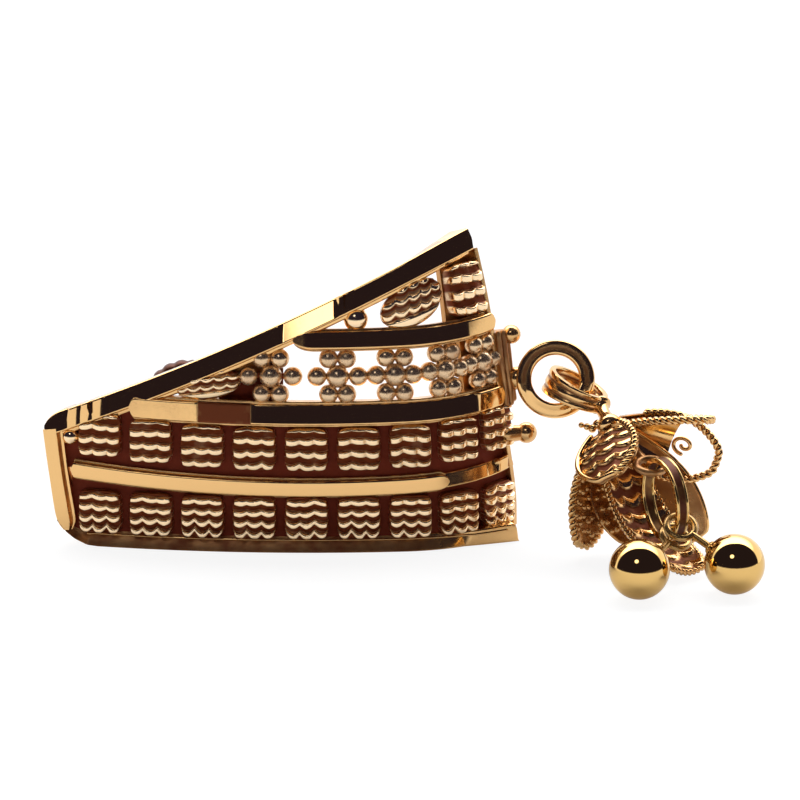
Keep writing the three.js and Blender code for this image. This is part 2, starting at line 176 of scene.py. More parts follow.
def tube(path, radius, reference, sides=12, closed=False, patinaShade=0.0):
    # a circle carried along the path; open ends are rounded by two smaller circles
    path = np.asarray(path, float)
    radius = np.broadcast_to(np.asarray(radius, float), len(path))
    if not closed:
        back = unit(path[0] - path[1])
        on = unit(path[-1] - path[-2])
        lead = [path[0] + back * radius[0] * k for k in (0.95, 0.7)]
        tail = [path[-1] + on * radius[-1] * k for k in (0.7, 0.95)]
        path = np.concatenate([lead, path, tail])
        radius = np.concatenate([radius[0] * np.array([0.3, 0.72]), radius])
        radius = np.concatenate([radius, radius[-1] * np.array([0.72, 0.3])])
    first, second = across(path, reference, closed)
    turn = wholeTurn(sides)
    ring = np.cos(turn)[None, :, None] * first[:, None] + np.sin(turn)[None, :, None] * second[:, None]
    return skin(path[:, None] + radius[:, None, None] * ring, closed, patinaShade=patinaShade)


def resample(path, step, closed=False):
    # points at even steps along a path
    if closed:
        path = np.concatenate([path, path[:1]])
    gone = np.concatenate([[0], np.cumsum(np.linalg.norm(np.diff(path, axis=0), axis=1))])
    count = max(4, int(round(gone[-1] / step)))
    at = np.linspace(0, gone[-1], count, endpoint=not closed)
    return np.stack([np.interp(at, gone, path[:, k]) for k in range(3)], axis=1)


def twisted(path, radius, pitch, reference, closed=False, patinaShade=0.0):
    # two round strands that wind about the path, half a turn apart
    perTurn = 9
    path = resample(path, pitch / perTurn, closed)
    first, second = across(path, reference, closed)
    turns = max(1, round(len(path) / perTurn))
    turn = np.linspace(0, 2 * math.pi * turns, len(path), endpoint=not closed)[:, None]
    strands = []
    for half in (0, math.pi):
        offset = np.cos(turn + half) * first + np.sin(turn + half) * second
        strand = path + offset * radius * 0.5
        strands.append(tube(strand, radius * 0.56, reference, 7, closed, patinaShade))
    return strands


def beads(centres, radii, around=14, down=10, patinaShade=0.0):
    # one round grain copied to every centre: rings from pole to pole, closed at the poles
    centres = np.atleast_2d(centres)
    radii = np.broadcast_to(radii, len(centres))
    polar = np.linspace(0, math.pi, down + 1)[1:-1]
    turn = wholeTurn(around)
    ring = [np.sin(polar)[:, None] * np.cos(turn), np.sin(polar)[:, None] * np.sin(turn)]
    ring = np.stack([*ring, np.cos(polar)[:, None] + 0 * turn], axis=-1)
    one = skin(ring, startTip=np.array([0, 0, 1.0]), endTip=np.array([0, 0, -1.0]))
    shape = one["points"]
    points = centres[:, None] + radii[:, None, None] * shape[None]
    shift = (np.arange(len(centres)) * len(shape))[:, None, None]
    quads = (one["quads"][None] + shift).reshape(-1, 4)
    tris = (one["tris"][None] + shift).reshape(-1, 3)
    points = points.reshape(-1, 3)
    return {"points": points, "quads": quads, "tris": tris, "patinaShade": np.full(len(points), patinaShade)}


def turned(profile, origin, axis, reference, around=48, closed=True, patinaShade=0.0, wave=None):
    # a profile of radius and height turned about an axis; wave scales the radius round the turn
    profile = np.asarray(profile, float)
    axis = unit(np.asarray(axis, float))
    first = unit(np.cross(axis, reference))
    second = np.cross(axis, first)
    turn = wholeTurn(around)
    scale = np.ones((len(profile), around)) if wave is None else wave(profile, turn)
    spoke = np.cos(turn)[:, None] * first + np.sin(turn)[:, None] * second
    radius = profile[:, :1] * scale
    rows = origin + radius[..., None] * spoke[None] + profile[:, 1][:, None, None] * axis
    if closed:
        return skin(rows, True, patinaShade=patinaShade)
    tips = [origin + profile[k, 1] * axis for k in (0, -1)]
    return skin(rows, False, tips[0], tips[1], patinaShade)


def roundedSection(low, high, back, front, radius, steps=4, hold=0.012):
    # a rectangle of height and depth with quarter-circle corners, and a point that holds each flat
    turn = np.linspace(0, math.pi / 2, steps + 1)
    arc = np.stack([np.cos(turn), np.sin(turn)], axis=1) * radius
    arc = np.concatenate([[arc[0] - [0, hold]], arc, [arc[-1] - [hold, 0]]])
    middle = [(high - radius, front - radius), (low + radius, front - radius)]
    middle += [(low + radius, back + radius), (high - radius, back + radius)]
    section = []
    for corner, centre in enumerate(middle):
        c, s = [(1, 0), (0, 1), (-1, 0), (0, -1)][corner]
        spin = np.stack([arc[:, 0] * c - arc[:, 1] * s, arc[:, 0] * s + arc[:, 1] * c], axis=1)
        section.append(spin + centre)
    return np.concatenate(section)


def denser(section, count):
    # the same closed outline with its points at even steps
    outline = np.concatenate([section, np.zeros((len(section), 1))], axis=1)
    return resample(outline, np.linalg.norm(np.diff(outline, axis=0), axis=1).sum() / count, True)[:, :2]


def makePiece(name, parts, finish="burnished", node="front_panel", sharp=50):
    # all parts in one mesh, moved from the layout in millimetres to the frame in metres
    sizes = np.cumsum([0] + [len(p["points"]) for p in parts])
    points = np.concatenate([p["points"] for p in parts]) + layoutShift
    faces = []
    for kind in ("quads", "tris"):
        faces += np.concatenate([p[kind] + shift for p, shift in zip(parts, sizes)]).tolist()
    mesh = bpy.data.meshes.new(name)
    mesh.from_pydata((points / 1000).tolist(), [], faces)
    # each point's share of patina and painted shade, which darkens it in the material
    patinaShade = mesh.attributes.new("patinaShade", "FLOAT", "POINT")
    patinaShade.data.foreach_set("value", np.concatenate([p["patinaShade"] for p in parts]).astype(np.float32))
    mesh.materials.append(finishes[finish])
    mesh.shade_smooth()
    mesh.set_sharp_from_angle(angle=math.radians(sharp))
    mesh.validate()
    piece = bpy.data.objects.new(name, mesh)
    bpy.context.scene.collection.objects.link(piece)
    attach(piece, "root")
    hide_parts(node)
    print("made", name, len(faces), "faces")


def mathsIn(tree):
    # a function that adds a sum to the node tree, each value a number or another node's output
    def maths(kind, *values, clamp=False):
        node = tree.nodes.new("ShaderNodeMath")
        node.operation = kind
        node.use_clamp = clamp
        for socket, value in zip(node.inputs, values):
            if isinstance(value, (int, float)):
                socket.default_value = value
            else:
                tree.links.new(value, socket)
        return node.outputs[0]

    return maths


def surfaceGroup():
    # colour mottled by soft noise and darkened by patina and painted shade, which also lower the metallic
    # share and raise the roughness; roughness with fine rubbing, a faint bump
    group = bpy.data.node_groups.new("goldSurface", "ShaderNodeTree")
    face = group.interface
    for label, kind in (("Metal", "NodeSocketColor"), ("Recess", "NodeSocketColor"),
                        ("Polish", "NodeSocketFloat"), ("Rub", "NodeSocketFloat"),
                        ("Dents", "NodeSocketFloat"), ("Age", "NodeSocketFloat")):
        face.new_socket(label, in_out="INPUT", socket_type=kind)
    for label, kind in (("Colour", "NodeSocketColor"), ("Metallic", "NodeSocketFloat"),
                        ("Roughness", "NodeSocketFloat"), ("Normal", "NodeSocketVector")):
        face.new_socket(label, in_out="OUTPUT", socket_type=kind)
    nodes, links = group.nodes, group.links
    given = nodes.new("NodeGroupInput")
    made = nodes.new("NodeGroupOutput")
    place = nodes.new("ShaderNodeTexCoord")
    darkening = nodes.new("ShaderNodeAttribute")
    darkening.attribute_name = "patinaShade"

    def noise(scale, detail):
        # soft noise over the piece's own coordinates
        node = nodes.new("ShaderNodeTexNoise")
        node.inputs["Scale"].default_value = scale
        node.inputs["Detail"].default_value = detail
        links.new(place.outputs["Object"], node.inputs["Vector"])
        return node.outputs["Fac"]

    maths = mathsIn(group)
    cloud = noise(900, 3)
    grit = noise(9000, 4)
    # painted shade and patina: the share at each point, scaled per finish and mottled by noise, turns the
    # colour to the recess colour, lowers the metallic share and raises the roughness
    spread = maths("MULTIPLY", maths("SUBTRACT", cloud, 0.5), 1.1)
    amount = maths("ADD", maths("MULTIPLY", darkening.outputs["Fac"], given.outputs["Age"]), spread)
    shade = maths("MULTIPLY", amount, darkening.outputs["Fac"], clamp=True)
    mix = nodes.new("ShaderNodeMix")
    mix.data_type = "RGBA"
    links.new(shade, mix.inputs["Factor"])
    links.new(given.outputs["Metal"], mix.inputs["A"])
    links.new(given.outputs["Recess"], mix.inputs["B"])
    links.new(mix.outputs["Result"], made.inputs["Colour"])
    links.new(maths("SUBTRACT", 1, maths("MULTIPLY", shade, 0.45)), made.inputs["Metallic"])
    rub = maths("MULTIPLY", maths("SUBTRACT", grit, 0.35), given.outputs["Rub"])
    rough = maths("ADD", given.outputs["Polish"], rub)
    rough = maths("ADD", rough, maths("MULTIPLY", shade, 0.4), clamp=True)
    links.new(rough, made.inputs["Roughness"])
    bump = nodes.new("ShaderNodeBump")
    bump.inputs["Distance"].default_value = 0.00001
    links.new(given.outputs["Dents"], bump.inputs["Strength"])
    links.new(maths("ADD", cloud, maths("MULTIPLY", grit, 0.15)), bump.inputs["Height"])
    links.new(bump.outputs["Normal"], made.inputs["Normal"])
    return group


goldGroup = surfaceGroup()


def goldFinish(name, look):
    # a metal whose colour, roughness and normal come from the shared group
    material = bpy.data.materials.new(name)
    material.use_nodes = True
    nodes, links = material.node_tree.nodes, material.node_tree.links
    shader = nodes["Principled BSDF"]
    surface = nodes.new("ShaderNodeGroup")
    surface.node_tree = goldGroup
    for label in ("Metal", "Recess"):
        surface.inputs[label].default_value = (*look[label.lower()], 1)
    for label in ("Polish", "Rub", "Dents", "Age"):
        surface.inputs[label].default_value = look[label.lower()]
    for label, target in (("Colour", "Base Color"), ("Metallic", "Metallic"),
                          ("Roughness", "Roughness"), ("Normal", "Normal")):
        links.new(surface.outputs[label], shader.inputs[target])
    return material


# each recess colour is patina with painted shade in the hollows; the oxidised finish of the sheets behind
# is darker still, painted shade as well as oxide
looks = {
    "burnished": {"metal": (0.86, 0.53, 0.22), "recess": (0.2, 0.042, 0.007), "polish": 0.07,
                  "rub": 0.12, "dents": 0.05, "age": 1.0},
    "grained": {"metal": (1.0, 0.75, 0.46), "recess": (0.24, 0.045, 0.005), "polish": 0.12,
                "rub": 0.16, "dents": 0.12, "age": 1.1},
    "shadedOxide": {"metal": (0.6, 0.3, 0.09), "recess": (0.18, 0.02, 0.002), "polish": 0.25,
                 "rub": 0.3, "dents": 0.3, "age": 1.4},
    "mirror": {"metal": (0.79, 0.51, 0.18), "recess": (0.1, 0.022, 0.004), "polish": 0.03,
               "rub": 0.06, "dents": 0.01, "age": 0.8},
}
finishes = {name: goldFinish(f"{name}_gold", look) for name, look in looks.items()}
print("finishes ready")


panel = {"bowRadius": 48.6, "curlStart": 4.5, "curlRadius": 7.0, "leanStart": 3.0, "leanRate": 0.03,
         "back": -1.3, "lipBack": -0.9}


def panelPoint(s, z, out):
    # a bow of large radius along the length, then a tighter curl; above leanStart the face tips back
    # as half the rate times the square of the height; out is along the face's normal
    s, z, out = np.broadcast_arrays(np.asarray(s, float), z, out)
    bowRadius, curlRadius = panel["bowRadius"], panel["curlRadius"]
    turn = math.asin(panel["curlStart"] / bowRadius)
    bowLength = bowRadius * turn
    heading = np.where(s < bowLength, s / bowRadius, turn + (s - bowLength) / curlRadius)
    bowed = np.minimum(heading, turn)
    x = bowRadius * np.sin(bowed) + curlRadius * (np.sin(heading) - np.sin(bowed))
    y = bowRadius * (1 - np.cos(bowed)) + curlRadius * (np.cos(bowed) - np.cos(heading))
    above = np.maximum(z - panel["leanStart"], 0)
    back = 0.5 * panel["leanRate"] * above ** 2
    normal = unit(np.stack([np.sin(heading), -np.cos(heading), panel["leanRate"] * above], axis=-1))
    point = np.stack([x - back * np.sin(heading), y + back * np.cos(heading), z], axis=-1)
    return point + normal * out[..., None]


def railAlong(stations, height, section, tilt=0.0, grow=1.0, patinaShade=0.0):
    # a section of height and depth carried along the face; the depth slopes back by tilt over height
    tilt = np.broadcast_to(tilt, len(stations))[:, None]
    grow = np.broadcast_to(grow, len(stations))[:, None]
    a = section[None, :, 0] * grow
    b = section[None, :, 1] - tilt * (a - section[:, 0].min())
    rows = panelPoint(stations[:, None], height[:, None] + a, b)
    return skin(rows, patinaShade=patinaShade)


def roundEnds(stations, startRadius, endRadius):
    # the share of the full height near ends that are rounded like quarter circles
    fromStart = np.clip((stations - stations[0]) / max(startRadius, 1e-6), 0, 1)
    fromEnd = np.clip((stations[-1] - stations) / max(endRadius, 1e-6), 0, 1)
    grow = np.sqrt(np.clip(1 - (1 - fromStart) ** 2, 0.02, 1))
    return grow * np.sqrt(np.clip(1 - (1 - fromEnd) ** 2, 0.02, 1))


def facetSteps(stations, facets, which=1):
    # the tilt or the patina of each facet in turn, changing over a short length where two meet
    starts = np.array([facet[0] for facet in facets])
    tilts = np.array([facet[which] if len(facet) > which else 0 for facet in facets])
    meets = np.repeat(starts[1:], 2) + np.tile([-0.02, 0.02], len(starts) - 1)
    at = np.concatenate([[-99], meets, [99]])
    return np.interp(stations, at, np.repeat(tilts, 2))


bands = {
    "lower": {"height": 3.09, "rise": 0.0045, "half": 0.38, "from": -11.35, "to": 6.6, "count": 140,
              "startRound": 0.1, "endRound": 0.5, "facets": [(-12, 0.0)],
              "lip": {"half": 0.07, "out": -0.28}},
    "middle": {"height": 6.64, "rise": 0.0025, "half": 0.48, "from": -8.55, "to": 10.1, "count": 170,
               "startRound": 0.3, "endRound": 0.3,
               "facets": [(-9, 0.012, 0.15), (-5.33, 0.06, 1.05), (-2.75, 0.2), (8.3, -0.05)],
               "lip": {"half": 0.08, "out": -0.25}},
    "upper": {"height": 10.1, "rise": 0.003, "half": 0.41, "from": -0.8, "to": 10.1, "count": 120,
              "startRound": 1.0, "endRound": 0.3, "facets": [(-1, -0.05), (-0.2, 0.07), (8.0, -0.05)],
              "lip": {"half": 0.07, "out": -0.25}},
}
# the lips, set back behind each band, are darkened by patina and painted shade
bandLook = {"edge": 0.09, "lipEdge": 0.05, "lipShare": 0.6, "lipPatinaShade": 0.55}


def bandHeight(name, s):
    # the middle line of a band rises with the square of the length
    return bands[name]["height"] + bands[name]["rise"] * s ** 2


def plainBand(name):
    # the band's flat face with rounded edges, then its thinner lips above and below
    look, lip = bands[name], bands[name]["lip"]
    half = look["half"]
    stations = np.linspace(look["from"], look["to"], look["count"])
    height = bandHeight(name, stations)
    section = roundedSection(-half, half, panel["back"], 0, bandLook["edge"])
    tilt = facetSteps(stations, look["facets"])
    # facets with a third number are darkened on their face by patina and painted shade
    darkening = facetSteps(stations, look["facets"], 2)[:, None] * (section[:, 1] > -0.2)
    grow = roundEnds(stations, look["startRound"], look["endRound"])
    parts = [railAlong(stations, height, section, tilt, grow, darkening)]
    strip = roundedSection(-lip["half"], lip["half"], panel["lipBack"], lip["out"], bandLook["lipEdge"])
    for side in (-1, 1):
        line = height + side * (half * grow + lip["half"] * bandLook["lipShare"])
        parts.append(railAlong(stations, line, strip, 0, grow, bandLook["lipPatinaShade"]))
    return parts


# the folded end is darkened a little by patina and painted shade
foldedEnd = {"from": 6.3, "to": 10.75, "count": 60, "half": 0.36, "out": -0.14, "edge": 0.1,
             "patinaShade": 0.35,
             "facets": [(6, 0.22), (8.9, 0.5), (9.6, -0.1), (10.3, 0.3)]}


def foldedBand():
    # the lower band's last stretch, a folded strip in steeper facets set a little back
    look = foldedEnd
    stations = np.linspace(look["from"], look["to"], look["count"])
    section = roundedSection(-look["half"], look["half"], panel["back"], look["out"], look["edge"])
    return railAlong(stations, bandHeight("lower", stations), section,
                     facetSteps(stations, look["facets"]), 1.0, look["patinaShade"])


makePiece("lower_band", plainBand("lower") + [foldedBand()])
makePiece("middle_band", plainBand("middle"))
makePiece("upper_band", plainBand("upper"))

# the long strip that runs up from the narrow end to the tip
strip = {"height": 11.27, "slope": 0.49, "rise": 0.0063, "tip": 0.287, "half": 0.5, "from": -12.7,
         "to": 9.6, "count": 240, "edge": 0.09, "startRound": 0.75,
         "facets": [(-13, 0.35), (-11.5, -0.03), (-11.1, 0.2), (-10.85, -0.06), (-10.5, 0.25),
                    (-10.3, -0.03), (-9.9, 0.16), (-1.4, 0.32), (1.25, 0.2), (1.33, -0.02),
                    (1.6, 0.2), (1.68, -0.02), (1.95, 0.07)],
         "lip": {"from": -11.9, "to": 9.3, "drop": 0.62, "half": 0.12, "out": -0.22, "edge": 0.08,
                 "tilt": -0.35, "patinaShade": 0.2}}


def stripLine(s, offset):
    # the height where the face meets a plane that rises along X and drops with Y
    z = np.full_like(s, strip["height"])
    for _ in range(8):
        x, y = np.moveaxis(panelPoint(s, z, 0), -1, 0)[:2]
        z = strip["height"] + offset + strip["slope"] * x + strip["rise"] * x ** 2 - strip["tip"] * y
    return z


def diagonalStrip():
    # the strip's flat face in facets, and the narrow lip that shows under it
    half = strip["half"]
    stations = np.linspace(strip["from"], strip["to"], strip["count"])
    height = stripLine(stations, 0)
    section = roundedSection(-half, half, panel["back"], 0, strip["edge"])
    grow = roundEnds(stations, strip["startRound"], 0.05)
    tilt = facetSteps(stations, strip["facets"])
    lip = strip["lip"]
    thin = roundedSection(-lip["half"], lip["half"], panel["lipBack"], lip["out"], lip["edge"])
    under = stations[(stations > lip["from"]) & (stations < lip["to"])]
    # the lip under the strip is darkened a little by patina and painted shade
    return [railAlong(stations, height, section, tilt, grow),
            railAlong(under, stripLine(under, -lip["drop"]), thin, lip["tilt"], 1.0, lip["patinaShade"])]


makePiece("diagonal_strip", diagonalStrip())


narrowBar = {"outer": [[-12.75, 5.5], [-12.45, 3.4], [-12.19, 1.6], [-12.0, 1.0], [-11.75, 0.7]],
             "inner": [[-11.95, 5.6], [-11.65, 3.3], [-11.38, 1.6], [-11.32, 1.1], [-11.4, 0.72]],
                 "count": 70, "face": [0.03, 0.86], "lip": [1.0, 1.2], "floor": [0.1, 1.1]}


def smoothLine(places, count):
    # a smooth curve through the places, as a cubic that leaves each along its neighbours' direction
    places = np.asarray(places, float)
    padded = np.concatenate([[2 * places[0] - places[1]], places, [2 * places[-1] - places[-2]]])
    at = np.linspace(0, len(places) - 1 - 1e-9, count)
    i = at.astype(int)
    t = (at - i)[:, None]
    a, b, c, d = (padded[i + k] for k in range(4))
    return 0.5 * (2 * b + (c - a) * t + (2 * a - 5 * b + 4 * c - d) * t ** 2
                  + (3 * b - a - 3 * c + d) * t ** 3)


def uprightBar(look, share, front, back, edge, patinaShade=0.0):
    # a flat bar between shares of the way from the outer to the inner edge, its section rounded
    outer = smoothLine(look["outer"], look["count"])
    inner = smoothLine(look["inner"], look["count"])
    section = roundedSection(share[0], share[1], back, front, edge, 3, 0.01)
    a = section[None, :, :1]
    place = outer[:, None] * (1 - a) + inner[:, None] * a
    return skin(panelPoint(place[..., 0], place[..., 1], section[None, :, 1]), patinaShade=patinaShade)


# the narrow bar's set-back floor is darkened by patina and painted shade
makePiece("narrow_bar",
          [uprightBar(narrowBar, narrowBar["face"], 0, panel["back"], 0.07),
           uprightBar(narrowBar, narrowBar["lip"], -0.14, panel["back"], 0.05),
           uprightBar(narrowBar, narrowBar["floor"], -0.4, panel["back"] + 0.05, 0.05, 0.8)])

wideBar = {"outer": [[10.1, 13.8], [10.1, 10], [10.15, 6.6], [10.5, 4.3], [11, 1.9], [11.1, 0.3]],
           "inner": [[9.8, 13.8], [9.8, 10], [9.85, 6.6], [10.2, 4.3], [10.7, 1.9], [10.8, 0.3]],
           "count": 80}
# the wide bar is half darkened by patina and painted shade
makePiece("wide_bar", [uprightBar(wideBar, [0, 1], -0.15, panel["back"], 0.09, 0.5)])

rim = {"from": -12.05, "to": 11.0, "height": 0.72, "frontCurve": 0.0201, "lean": 0.34, "count": 200,
       "corner": [[-12.1, -11.6, -11.2, -10.6, -10.1], [1.2, 0.6, 0.3, 0.04, 0]],
       "tall": [[-12.1, -11.2, -10.2, 8, 10, 11], [0.5, 0.6, 1, 1, 1.15, 1.2]],
       "leans": [[5.5, 8], [1, 0.08]], "darkening": [[5, 8], [0.88, 0.2]],
       "share": [0.03, 0.0, 0.03, 0.1, 0.62, 0.72, 0.9, 0.98, 1.0],
       "slope": [0.15, 0.05, 0.0, 0.0, 1.0, 1.06, 1.1, 1.3, 1.7],
       "line": {"radius": 0.05, "out": 0.02}}


def bottomRim():
    # flat below and rising round the narrow end's corner; its face slopes back from the foot, by the
    # slope at each share of its height, and stands upright and less darkened by painted shade at the wide
    # end
    stations = np.linspace(rim["from"], rim["to"], rim["count"])
    foot = panelPoint(stations, 0, 0)
    curved = np.minimum(rim["frontCurve"] * foot[:, 0] ** 2, foot[:, 1])
    y = np.where(stations < 0, foot[:, 1], curved)
    normal = unit(panelPoint(stations, 0, 1) - foot)
    base = np.interp(stations, *rim["corner"])[:, None]
    tall = rim["height"] * np.interp(stations, *rim["tall"])
    tall = tall[:, None] * roundEnds(stations, 0.1, 0.35)[:, None]
    lean = rim["lean"] * np.interp(stations, *rim["leans"])[:, None]
    out = -np.array([rim["slope"]]) * (lean + 0.03)
    front = np.stack([foot[:, :1] + normal[:, :1] * out, y[:, None] + normal[:, 1:2] * out,
                      base + tall * rim["share"]], axis=-1)
    back = [panelPoint(stations, base[:, 0] + tall[:, 0] * z, panel["back"] + d)[:, None]
            for z, d in ((1.0, 0.1), (0.9, 0), (0.1, 0), (0.0, 0.08))]
    rows = np.concatenate([front, *back], axis=1)
    # painted shade: the front is darkened strongly along most of the length, fading to little by the wide
    # end, the back a third as much
    darkening = np.interp(stations, *rim["darkening"])[:, None] * ([1.0] * 9 + [0.3] * 4)
    line = rim["line"]
    ridge = front[:, 5].copy()
    ridge[:, :2] += normal[:, :2] * line["out"]
    return [skin(rows, patinaShade=darkening), tube(ridge[12:-8], line["radius"], upright, 8)]


makePiece("bottom_rim", bottomRim())


# the sheets behind, painted dark with shade and oxide in the recesses between the bands
sheets = {"front": -0.45, "back": -0.9, "deepFront": -0.85, "deepBack": -1.25,
          "gusset": {"from": -4.4, "to": -1.3, "front": -1.05, "fade": [[0.45, 0.75], [1.0, 0.1]]}}


def backSheet(start, end, low, high, front, back, skew=0.0, patinaShade=1.0):
    # a sheet between two edges given as heights over the length
    s = np.linspace(start, end, 90)[:, None]
    v = np.linspace(0, 1, 12)[None, :]
    bottom, top = low(s), high(s)
    z = bottom + (top - bottom) * v
    s = s - skew * (z - bottom) * (s - start) / (end - start)
    # painted shade and patina: the front is darkened by the given share, fully unless given, the back a
    # quarter as much
    return shell(panelPoint(s, z, front), panelPoint(s, z, back), patinaShade, 0.25)


def level(height):
    # an edge at one height all along
    return lambda s: 0 * s + height


def bandEdge(name):
    # an edge along the middle line of a band
    return lambda s: bandHeight(name, s)


def stripEdge(s):
    # an edge along the middle line of the diagonal strip
    return stripLine(s[:, 0], 0)[:, None]


def lowerEdge(s):
    # the middle band's edge, or the strip's where that is lower
    return np.minimum(bandHeight("middle", s), stripEdge(s))


def allSheets():
    # two sheets behind the squares, two that close the wide end, its flange, and the gusset
    lower, middle, upper = (bandEdge(name) for name in bands)
    face = sheets["front"], sheets["back"]
    deep = sheets["deepFront"], sheets["deepBack"]
    gusset = sheets["gusset"]
    # the gusset is fully darkened over its lower part, fading towards the strip
    fade = np.interp(np.linspace(0, 1, 12), *gusset["fade"])[None]
    return [
        backSheet(-11.4, 11, level(0.36), lower, *face, 0.1),
        backSheet(-12, 10.6, lower, lowerEdge, *face),
        backSheet(8.1, 10.1, middle, upper, *deep, 0, 0.3),
        backSheet(7.3, 10.1, upper, level(13.8), *deep, 0, 0.35),
        backSheet(9.9, 11.15, level(6.5), level(9.8), -0.15, sheets["back"], 0, 0.3),
        backSheet(gusset["from"], gusset["to"], middle, stripEdge, gusset["front"], deep[1], 0, fade),
    ]


makePiece("back_sheets", allSheets(), "shadedOxide")

square = {"size": 2.06, "pitch": 2.454, "first": -9.99, "count": 9, "cells": 36, "edge": -0.22,
          "corner": 0.12, "jitter": 0.05, "columns": 3, "behind": -0.5}
lowerRow = {"height": 1.66, "rise": 0.0, "lift": 0.36, "rows": 3.8, "curve": 0.62, "side": 0.3,
            "lip": 0.46, "grade": -0.08, "bend": 1.5}
upperRow = {"height": 4.97, "rise": 0.0043, "lift": 0.36, "rows": 3.35, "curve": 0.14, "side": 0.38,
            "lip": 0.46, "grade": 0.12, "bend": 0.6}


def scales(u, v, rows, columns, curve, side, lip, grade=0.14):
    # rows of hanging scales: each stands out from the one below at its drooping lower edge, is
    # nearly flat over its lip, by the grade, drops over a ledge, then falls back to the next row
    a = (u + 1) * columns / 2 % 1 * 2 - 1
    t = (v + 1) * rows / 2 - curve * a ** 2
    t = np.where(t < 0, 0, t % 1)
    flat = 0.93 + grade * (np.clip(t / lip, 0, 1) ** 0.7 - 0.5)
    flat = flat * np.clip(t / 0.08, 0, 1) ** 0.5
    drop = np.clip((t - lip) / 0.16, 0, 1)
    drop = drop * drop * (3 - 2 * drop)
    low = 0.3 * (1 - np.clip((t - lip) / (1 - lip), 0, 1))
    return (flat * (1 - drop) + low * drop) * (1 - side * a ** 2)


def stampedSquare(s, z, base, row, grow=1.0):
    # a square whose corners are drawn in by the fourth power of the place, with rows of scales that
    # fade to its border, each square struck a little unevenly, its low places darkened by painted shade
    # and patina
    n = square["cells"] * 2 + 1
    u = np.linspace(-1, 1, n)
    u, v = np.meshgrid(u, u, indexing="ij")
    pull = 1 - square["corner"] * (u * v) ** 4
    shift = rng.normal(0, square["jitter"], 6)
    wave = shift[0] * np.sin(4 * u + 9 * shift[1]) + shift[2] * np.sin(7 * u * v)
    curve = row["curve"] * (0.1 + 0.9 * (0.5 - v / 2) ** row["bend"]) * (1 + 3 * shift[3])
    height = scales(u + shift[4] * 0.3, v + wave * 0.5, row["rows"], square["columns"], curve,
                    row["side"], row["lip"], row["grade"])
    border = np.clip(11 * (1 - np.maximum(np.abs(u), np.abs(v))), 0, 1) ** 0.6
    lumps = np.sin(9 * u + 40 * shift[5]) * np.sin(7 * v + 60 * shift[2])
    height = height + 0.1 * lumps * np.clip(0.55 - height, 0, 0.35)
    out = square["edge"] + row["lift"] * (height * border + 0.3 * (1 - border) * border ** 0.3)
    half = square["size"] / 2 * grow
    place = [s + half * u * pull, z + half * v * pull]
    # what reaches past the long strip's lower edge stays behind the strip
    out = np.where(place[1] > stripLine(place[0], -strip["half"]), square["behind"], out)
    # painted shade and patina: the lower the relief, the darker
    darkening = np.clip(1.3 - height * 1.7, 0, 1)
    return relief(panelPoint(*place, out), panelPoint(*place, base + 0 * out), darkening)


def squareRow(row):
    # squares at an even pitch, at a height that rises with the square of the length
    stations = square["first"] + square["pitch"] * np.arange(square["count"])
    heights = row["height"] + row["rise"] * stations ** 2
    return [stampedSquare(s, z, -0.6, row) for s, z in zip(stations, heights)]


makePiece("lower_squares", squareRow(lowerRow), "grained", sharp=80)
makePiece("upper_squares", squareRow(upperRow), "grained", sharp=80)
cornerSquare = stampedSquare(8.6, 12.1, -1.0, {**upperRow, "grade": 0.26}, 1.17)
makePiece("corner_square", [cornerSquare], "grained", sharp=80)

flowerLook = {"places": [(-1.87, 1.06), (1.31, 0.98), (4.04, 0.9), (6.73, 0.9), (9.15, 0.88)],
              "height": 8.41, "rise": 0.00275, "rowStep": 0.83, "halfStep": 0.43, "radius": 0.455,
              "middle": 0.54, "arm": 0.15}


def flowers():
    # a middle grain, one each side, and two above and below, held by thin arms behind them; the grains are
    # half darkened and the arms fully, by painted shade for the brown between the grains
    look = flowerLook
    parts = []
    for s, reach in look["places"]:
        z = look["height"] + look["rise"] * s ** 2
        half, step = look["halfStep"], look["rowStep"]
        offset = np.array([[0, 0], [-reach, 0], [reach, 0], [-half, step], [half, step],
                           [-half, -step], [half, -step]])
        radii = np.array([look["middle"]] + [look["radius"]] * 6)
        centres = panelPoint(s + offset[:, 0], z + offset[:, 1], -0.45)
        # painted shade: the grains half darkened, the arms behind them fully
        parts.append(beads(centres, radii, 24, 16, 0.5))
        for k in range(1, 7):
            t = np.linspace(0, 1.15, 6)[:, None] * offset[k]
            arm = panelPoint(s + t[:, 0], z + t[:, 1], -0.55)
            parts.append(tube(arm, look["arm"], backwards + 0.2 * upright, 8, patinaShade=1.0))
    return parts


makePiece("flower_grains", flowers(), "grained")

leafLook = {"places": [(-4.85, 8.0, 3.1, 0.72, 0.125), (5.15, 11.72, 3.5, 1.02, 0.277)],
            "tip": 0.05, "crest": 0.3, "columns": 5, "rows": 3.6, "lift": 0.22, "grade": 0.26,
            "belly": 0.72}


